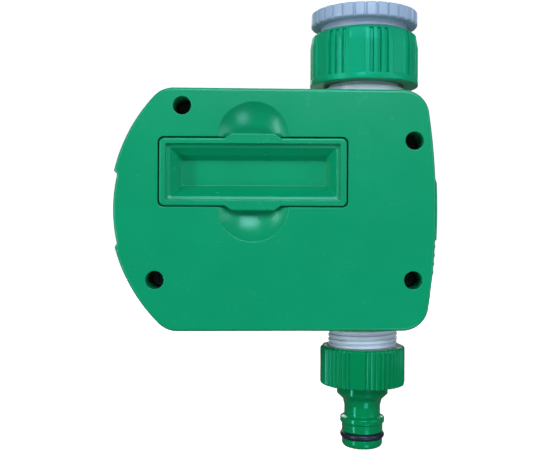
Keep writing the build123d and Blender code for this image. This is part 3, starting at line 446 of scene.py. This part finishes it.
def nut_grip(angle, radius, z):
    """Eight flat panels with three grooves between each pair, on the nut's outside."""
    floor_z = NUT["grip_low"] - NUT["grip_step"]
    if radius < NUT["grip_from"] or z < floor_z:
        return radius
    depth = ease((z - floor_z) / NUT["grip_step"])
    off = abs(off_centre(angle, NUT_PANEL["at"], NUT_PANEL["every"]))
    flat = NUT["r"] * cos(radians(NUT_PANEL["half"])) - NUT_PANEL["sunk"]
    panel = ease((NUT_PANEL["half"] - off) / NUT_PANEL["edge"])
    top = NUT_PANEL["top_sunk"] * ease((z - NUT_PANEL["top_from"]) / NUT_PANEL["top_run"])
    chord = min(radius, flat / cos(radians(off)) - top)
    radius -= depth * panel * (radius - chord)
    if off > NUT_PANEL["half"] + 1:
        across = min(abs(off - place) for place in NUT_GROOVE["off"]) * radians(1) * NUT["r"]
        groove = ease((NUT_GROOVE["half"] - across) / NUT_GROOVE["flank"])
        below_top = ease((NUT_GROOVE["top"] - z) / NUT_GROOVE["top_run"])
        radius -= depth * NUT_GROOVE["depth"] * groove * below_top
    return radius


def nut_relief(angle, radius, z):
    """The grip outside and the 1 inch thread inside."""
    if radius < NUT["thread_r"] + 0.25 and z > NUT["thread_low"] + 0.1:
        tooth = between_crests(NUT_THREAD, angle, z, clear=0.21, flank=0.25)
        return radius - NUT["thread_depth"] * tooth * run_out(NUT_THREAD, z)
    return nut_grip(angle, radius, z)


def swivel_nut():
    """The ribbed nut that draws the adapter onto the valve's collar."""
    outside = rounded_outline([
        (NUT["thread_r"], NUT["top"], 0.0),
        (NUT["top_r"], NUT["top"], 0.3),
        (20.1, NUT["top"] - 1.1, 0.8),
        (NUT["r"], NUT["top"] - 5.2, 3.0),
        (NUT["r"], NUT["bottom"], 0.45),
        (NUT["foot_r"], NUT["bottom"], 0.2),
        (NUT["bore"], NUT["bottom"] + 1.4, 0.0),
        (NUT["bore"], NUT["thread_low"] - 0.1, 0.0),
    ])
    grip_floor = NUT["grip_low"] - NUT["grip_step"]
    step_wall = [Vector((NUT["r"], grip_floor + 0.07 * step)) for step in range(6, -1, -1)]
    at = next(index for index, point in enumerate(outside) if point[1] < NUT["grip_low"])
    inside = wall(NUT_THREAD, NUT["thread_r"], NUT["thread_low"], NUT["top"])
    return turned_skin(outside[1:at] + step_wall + outside[at:] + inside, NUT["segments"], nut_relief)


add_piece("swivel_nut_ribbed", swivel_nut(), "swivel_nut", "nut_green", ["swivel_nut"], sharp=40)
add_piece("inlet_adapter_knurled", inlet_adapter(), "adapter", "adapter_grey", ["inlet_adapter"], sharp=40)


# ---------------------------------------------------------------- outlet: spigot, connector and its ring

SPIGOT = {"thread_top": -119.6, "wall": (-119.0, -133.6), "end": -134.4, "bore": 7.5, "segments": 224}


def spigot_relief(angle, radius, z):
    """The outlet's 3/4 inch outside thread."""
    if radius > G34["root"] - 0.1 and z < SPIGOT["thread_top"]:
        rise = on_crest(SPIGOT_THREAD, angle, z, crest=0.5, flank=0.17)
        return radius + (G34["crest"] - radius) * rise * run_out(SPIGOT_THREAD, z)
    return radius


def outlet_spigot():
    """The lower valve body, its outside thread with smooth flanks and faded ends."""
    upper = [
        (5.6, -98.6), (8.86, -98.6), (8.86, -100.0), (7.6, -100.0), (7.6, -102.0), (8.86, -102.0),
        (8.86, -104.05), (11.5, -104.05), (11.5, -112.0), (G34["crest"], -113.5), (G34["crest"], -117.6),
        (G34["root"], -117.6),
    ]
    end = [(11.3, SPIGOT["end"]), (SPIGOT["bore"], SPIGOT["end"]), (SPIGOT["bore"], -110.0), (5.6, -106.0)]
    outside = wall(SPIGOT_THREAD, G34["root"], *SPIGOT["wall"])
    outline = [Vector(point) for point in upper] + outside + [Vector(point) for point in end]
    return turned_skin(outline, SPIGOT["segments"], spigot_relief)


CONNECTOR = {
    "r": 16.35, "top": -127.6, "shoulder": -142.3, "hub_r": 9.8, "neck_r": 6.9, "flange_r": 8.5,
    "tip_r": 7.75, "tip": -166.5, "bore": 5.2, "groove_r": 6.6, "groove": (-160.6, -163.2),
    "thread_r": 13.35, "thread_low": -136.6, "thread_depth": 0.95, "rib_from": 14.4, "segments": 624,
}
CONNECTOR_PANEL = {"at": 90 - 12.3, "every": 90, "half_in_ribs": 1.5, "edge": 0.8, "sunk": 0.05}
RIB = {"count": 52, "depth": 0.62, "sharpness": 1.6}


def connector_relief(angle, radius, z):
    """Rounded ribs round the nut, broken by four flat panels, and the thread inside."""
    if abs(radius - CONNECTOR["thread_r"]) < 0.15 and z > CONNECTOR["thread_low"]:
        tooth = between_crests(CONNECTOR_THREAD, angle, z, clear=0.43, flank=0.07)
        return radius - CONNECTOR["thread_depth"] * tooth * run_out(CONNECTOR_THREAD, z)
    if radius < CONNECTOR["rib_from"] or z < CONNECTOR["shoulder"] - 0.01:
        return radius
    rib = 360 / RIB["count"]
    off = off_centre(angle, CONNECTOR_PANEL["at"], CONNECTOR_PANEL["every"])
    half_panel = CONNECTOR_PANEL["half_in_ribs"] * rib
    if abs(off) < half_panel:
        flat = CONNECTOR["r"] * cos(radians(half_panel)) - CONNECTOR_PANEL["sunk"]
        edge = ease((half_panel - abs(off)) / CONNECTOR_PANEL["edge"])
        return min(radius, radius + (flat / cos(radians(off)) - CONNECTOR["r"]) * edge)
    across = abs(off_centre(angle, CONNECTOR_PANEL["at"] + rib / 2, rib)) / (rib / 2)
    return radius - RIB["depth"] * (1 - across) ** RIB["sharpness"]


def outlet_connector():
    """The ribbed nut and the hose nipple, one moulding."""
    groove_top, groove_low = CONNECTOR["groove"]
    outside = rounded_outline([
        (CONNECTOR["thread_r"], CONNECTOR["top"], 0.0),
        (CONNECTOR["r"], CONNECTOR["top"], 1.3),
        (CONNECTOR["r"], CONNECTOR["shoulder"], 0.7),
        (CONNECTOR["hub_r"], CONNECTOR["shoulder"], 0.3),
        (CONNECTOR["hub_r"], -146.0, 0.6),
        (7.5, -148.2, 1.0),
        (CONNECTOR["neck_r"], -150.6, 2.0),
        (CONNECTOR["neck_r"], -154.4, 0.5),
        (CONNECTOR["flange_r"], -155.1, 0.7),
        (CONNECTOR["flange_r"], -156.9, 0.8),
        (CONNECTOR["tip_r"] + 0.1, -157.6, 0.3),
        (CONNECTOR["tip_r"] + 0.1, groove_top + 0.05, 0.25),
        (CONNECTOR["groove_r"], groove_top, 0.0),
        (CONNECTOR["groove_r"], groove_low, 0.0),
        (CONNECTOR["tip_r"], groove_low, 0.25),
        (CONNECTOR["tip_r"], CONNECTOR["tip"], 1.6),
        (CONNECTOR["bore"], CONNECTOR["tip"], 0.5),
        (CONNECTOR["bore"], -140.0, 0.0),
        (7.0, CONNECTOR["thread_low"], 0.0),
    ])
    inside = wall(CONNECTOR_THREAD, CONNECTOR["thread_r"], CONNECTOR["thread_low"], CONNECTOR["top"])
    return turned_skin(outside[1:] + inside, CONNECTOR["segments"], connector_relief)


O_RING = {"r": 7.25, "z": -161.88, "cord_r": 1.25, "seat_r": 6.62, "cord_points": 28, "segments": 160}


def o_ring():
    """A round cord in the nipple's groove, flattened where it lies on the groove's floor."""
    outline = []
    for step in range(O_RING["cord_points"]):
        angle = 2 * pi * step / O_RING["cord_points"]
        radius = O_RING["r"] + O_RING["cord_r"] * cos(angle)
        outline.append(Vector((max(O_RING["seat_r"], radius), O_RING["z"] + O_RING["cord_r"] * sin(angle))))
    return turned_skin(outline, O_RING["segments"])


add_piece("outlet_spigot_threaded", outlet_spigot(), "housing", "valve_grey", ["valve_body_lower"], sharp=50)
add_piece(
    "outlet_connector_ribbed", outlet_connector(), "connector", "connector_green",
    ["outlet_connector"], sharp=50,
)
add_piece("outlet_o_ring_cord", o_ring(), "connector", "seal_rubber", ["outlet_o_ring"], sharp=60)


# ---------------------------------------------------------------- display side: digits and button marks

DIGIT_SEGMENTS = {"0": "abcdef", "1": "bc", "2": "abged", "3": "abgcd"}
DIGIT = {"width": 4.2, "height": 8.4, "bar": 0.95, "lean": 0.09, "cut": 0.9}

# a mark's side stands straight for this part of its height, and its top is drawn in by the inset
INK = {"height": 0.1, "straight": 0.6, "inset": 0.03}
PLAIN_CUT = 0.3


def plate(skin, middle, size, face_y, corner_cut=PLAIN_CUT, turn=0.0, lean=0.0):
    """Adds a thin plate with cut corners, standing proud of the face at face_y, to a skin.

    corner_cut is a part of the plate's smaller half size, and lean is how far it slants as it rises.
    """
    half_x, half_z = size[0] / 2, size[1] / 2
    cut = min(half_x, half_z) * corner_cut
    outline = [
        (half_x - cut, half_z), (cut - half_x, half_z), (-half_x, half_z - cut), (-half_x, cut - half_z),
        (cut - half_x, -half_z), (half_x - cut, -half_z), (half_x, cut - half_z), (half_x, half_z - cut),
    ]
    rings = []
    shoulder = INK["height"] * INK["straight"]
    for reach, inset in ((0.0, 0.0), (shoulder, 0.0), (INK["height"], INK["inset"])):
        ring = []
        for x, z in outline:
            across = x * (1 - inset / half_x) * cos(turn) - z * (1 - inset / half_z) * sin(turn)
            up = x * (1 - inset / half_x) * sin(turn) + z * (1 - inset / half_z) * cos(turn)
            place = (middle[0] + across + lean * up, face_y - reach, middle[1] + up)
            ring.append(skin.verts.new([value * MM for value in place]))
        rings.append(ring)
    for low, high in zip(rings, rings[1:]):
        for index in range(len(outline)):
            ahead = (index + 1) % len(outline)
            skin.faces.new((low[index], low[ahead], high[ahead], high[index]))
    skin.faces.new(rings[-1])
    skin.faces.new(rings[0][::-1])


def segment_digit(skin, figure, middle, face_y):
    """One seven segment figure, its bars leaning as they rise."""
    half, rise, bar = DIGIT["width"] / 2, DIGIT["height"] / 4, DIGIT["bar"]
    flat, tall = (DIGIT["width"] - bar, bar), (bar, DIGIT["height"] / 2 - bar)
    bars = {
        "a": (0, 2 * rise, flat), "g": (0, 0, flat), "d": (0, -2 * rise, flat),
        "b": (half, rise, tall), "c": (half, -rise, tall),
        "e": (-half, -rise, tall), "f": (-half, rise, tall),
    }
    for key in DIGIT_SEGMENTS[figure]:
        x, z, size = bars[key]
        lean = DIGIT["lean"]
        place = (middle[0] + x + lean * z, middle[1] + z)
        plate(skin, place, size, face_y, DIGIT["cut"], lean=lean)


# places are from the middle of the glass
TIME = {"figures": "1230", "places": (-10.2, -3.8, 3.8, 10.2), "rise": -1.2}
COLON = {"rises": (-2.6, 0.4), "side": 0.9, "cut": 0.5}
TOP_ROW = 6.2
DAY_DOTS = {"count": 7, "start": -13.0, "every": 2.6, "side": 1.3, "cut": 0.6}
CELL_SIGN_AT = 12.0

# each bar is its place across and up from the sign's middle, its width and its height
CELL_SIGN = [
    (0.0, -0.9, 4.2, 0.3), (0.0, 0.9, 4.2, 0.3), (-2.0, 0.0, 0.3, 2.1), (2.0, 0.0, 0.3, 2.1),
    (-0.9, 0.0, 1.7, 1.1),
]


def face_middle(node):
    """The middle of a CAD node as the display side shows it, and the y of its face there."""
    low, high = (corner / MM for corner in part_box(node))
    return (low[0] + high[0]) / 2, (low[2] + high[2]) / 2, low[1]


def lcd_figures():
    """A clock time, a row of day dots and a cell sign on the display's glass."""
    x, z, face_y = face_middle("lcd_module")
    skin = bmesh.new()
    for place, figure in zip(TIME["places"], TIME["figures"]):
        segment_digit(skin, figure, (x + place, z + TIME["rise"]), face_y)
    for rise in COLON["rises"]:
        plate(skin, (x, z + rise), (COLON["side"], COLON["side"]), face_y, COLON["cut"])
    for day in range(DAY_DOTS["count"]):
        middle = (x + DAY_DOTS["start"] + DAY_DOTS["every"] * day, z + TOP_ROW)
        plate(skin, middle, (DAY_DOTS["side"], DAY_DOTS["side"]), face_y, DAY_DOTS["cut"])
    for across, up, width, height in CELL_SIGN:
        plate(skin, (x + CELL_SIGN_AT + across, z + TOP_ROW + up), (width, height), face_y)
    bmesh.ops.recalc_face_normals(skin, faces=skin.faces)
    return skin


MARK_CUT = 0.5

# each bar is its place across and up from the button's middle, its width, height and turn in degrees
BUTTON_MARKS = {
    "button_1": [(0.0, 1.1, 4.2, 0.6, 0), (0.0, 0.0, 4.2, 0.6, 0), (0.0, -1.1, 4.2, 0.6, 0)],
    "button_2": [(-0.95, -0.35, 0.65, 2.0, 45), (0.75, 0.25, 0.65, 3.6, -45)],
    "button_3": [(0.0, 0.0, 3.6, 0.7, 0)],
    "button_4": [(0.0, 0.0, 3.6, 0.7, 0), (0.0, 0.0, 0.7, 3.6, 0)],
}


def button_mark(node):
    """Raised bars on a button: a list, a tick, a minus or a plus."""
    x, z, face_y = face_middle(node)
    skin = bmesh.new()
    for across, up, width, height, turn in BUTTON_MARKS[node]:
        plate(skin, (x + across, z + up), (width, height), face_y, MARK_CUT, turn=radians(turn))
    bmesh.ops.recalc_face_normals(skin, faces=skin.faces)
    return skin


add_piece("lcd_figures", lcd_figures(), "housing", "chip_black")
for node in BUTTON_MARKS:
    add_piece(node + "_mark", button_mark(node), node, "housing_green")


# ---------------------------------------------------------------- stage, light and camera

PAPER = {"drop": 12 * MM, "floor_r": 1.3, "sweep_r": 0.6, "sweep_steps": 8, "segments": 72, "glow": 0.8}
PAPER_ROOF = [(1.9, 2.2), (1.2, 2.9), (0.0, 3.0)]


def studio():
    """A pale round floor that sweeps up into a wall and a roof."""
    floor_z = cad_box[0][2] - PAPER["drop"]
    profile = [(0.0, 0.0), (PAPER["floor_r"], 0.0)]
    for step in range(1, PAPER["sweep_steps"] + 1):
        angle = pi / 2 * step / PAPER["sweep_steps"]
        radius = PAPER["floor_r"] + PAPER["sweep_r"] * sin(angle)
        profile.append((radius, PAPER["sweep_r"] * (1 - cos(angle))))
    profile += PAPER_ROOF
    sweep = turned_skin([Vector((radius, z + floor_z)) / MM for radius, z in profile], PAPER["segments"])
    mesh = bpy.data.meshes.new("studio_sweep")
    sweep.to_mesh(mesh)
    sweep.free()
    mesh.shade_smooth()
    n = Nodes("studio_paper")
    n.colour(n.ramp(n.noise(scale=3, detail=2), srgb(246, 246, 246), srgb(252, 252, 252)))
    n.set(Roughness=0.9, Emission_Color=(1, 1, 1, 1), Emission_Strength=PAPER["glow"])
    mesh.materials.append(n.material)
    piece = bpy.data.objects.new("studio_sweep", mesh)
    bpy.context.scene.collection.objects.link(piece)
    piece.visible_diffuse = False
    piece.visible_glossy = False
    piece.visible_shadow = False


LIT_POINT = (0.034, 0, -0.08)
COOL = (0.94, 1.0, 1.12)
WHITE = (1.0, 1.0, 1.0)
WORLD_STRENGTH = 0.12

# lamp: place, size, power in watts, colour
LAMPS = {
    "soft_front": ((-0.05, 0.85, 0.46), (0.6, 0.45), 6.6, COOL),
    "low_front": ((-0.3, 0.75, -0.66), (0.35, 0.35), 1.8, COOL),
    "overhead": ((0.03, -0.1, 0.85), (0.9, 0.3), 1.6, COOL),
    "strip": ((0.78, 0.55, -0.06), (0.12, 1.0), 4.6, WHITE),
    "side_fill": ((-0.8, 0.5, 0.05), (0.5, 0.7), 2.2, WHITE),
    "display_side": ((0.0, -0.9, 0.5), (1.0, 0.8), 9.0, WHITE),
}


def area_light(name, place, size, power, colour):
    """A rectangular lamp aimed at the middle of the timer."""
    light = bpy.data.lights.new(name, "AREA")
    light.shape = "RECTANGLE"
    light.size, light.size_y = size
    light.energy = power
    light.color = colour
    lamp = bpy.data.objects.new(name, light)
    bpy.context.scene.collection.objects.link(lamp)
    lamp.location = place
    lamp.rotation_euler = (Vector(LIT_POINT) - Vector(place)).to_track_quat("-Z", "Y").to_euler()


def lights():
    """The studio's lamps and the faint light from all round."""
    for name, lamp in LAMPS.items():
        area_light(name, *lamp)
    world = bpy.data.worlds.new("studio")
    bpy.context.scene.world = world
    world.use_nodes = True
    background = world.node_tree.nodes["Background"]
    background.inputs["Color"].default_value = (1, 1, 1, 1)
    background.inputs["Strength"].default_value = WORLD_STRENGTH


CAMERA = {"place": (0.0341, 0.305, -0.0814), "lens": 51.5, "sensor": 36, "roll": -0.28, "near": 0.01}


def camera():
    """Level with the body, square to its back, 305 mm from the pipe axis."""
    data = bpy.data.cameras.new("camera")
    data.sensor_width = CAMERA["sensor"]
    data.lens = CAMERA["lens"]
    data.clip_start = CAMERA["near"]
    view = bpy.data.objects.new("camera", data)
    bpy.context.scene.collection.objects.link(view)
    view.location = CAMERA["place"]
    view.rotation_euler = (radians(90), radians(CAMERA["roll"]), radians(180))
    bpy.context.scene.camera = view
    bpy.context.scene.view_settings.view_transform = "Standard"


studio()
lights()
camera()
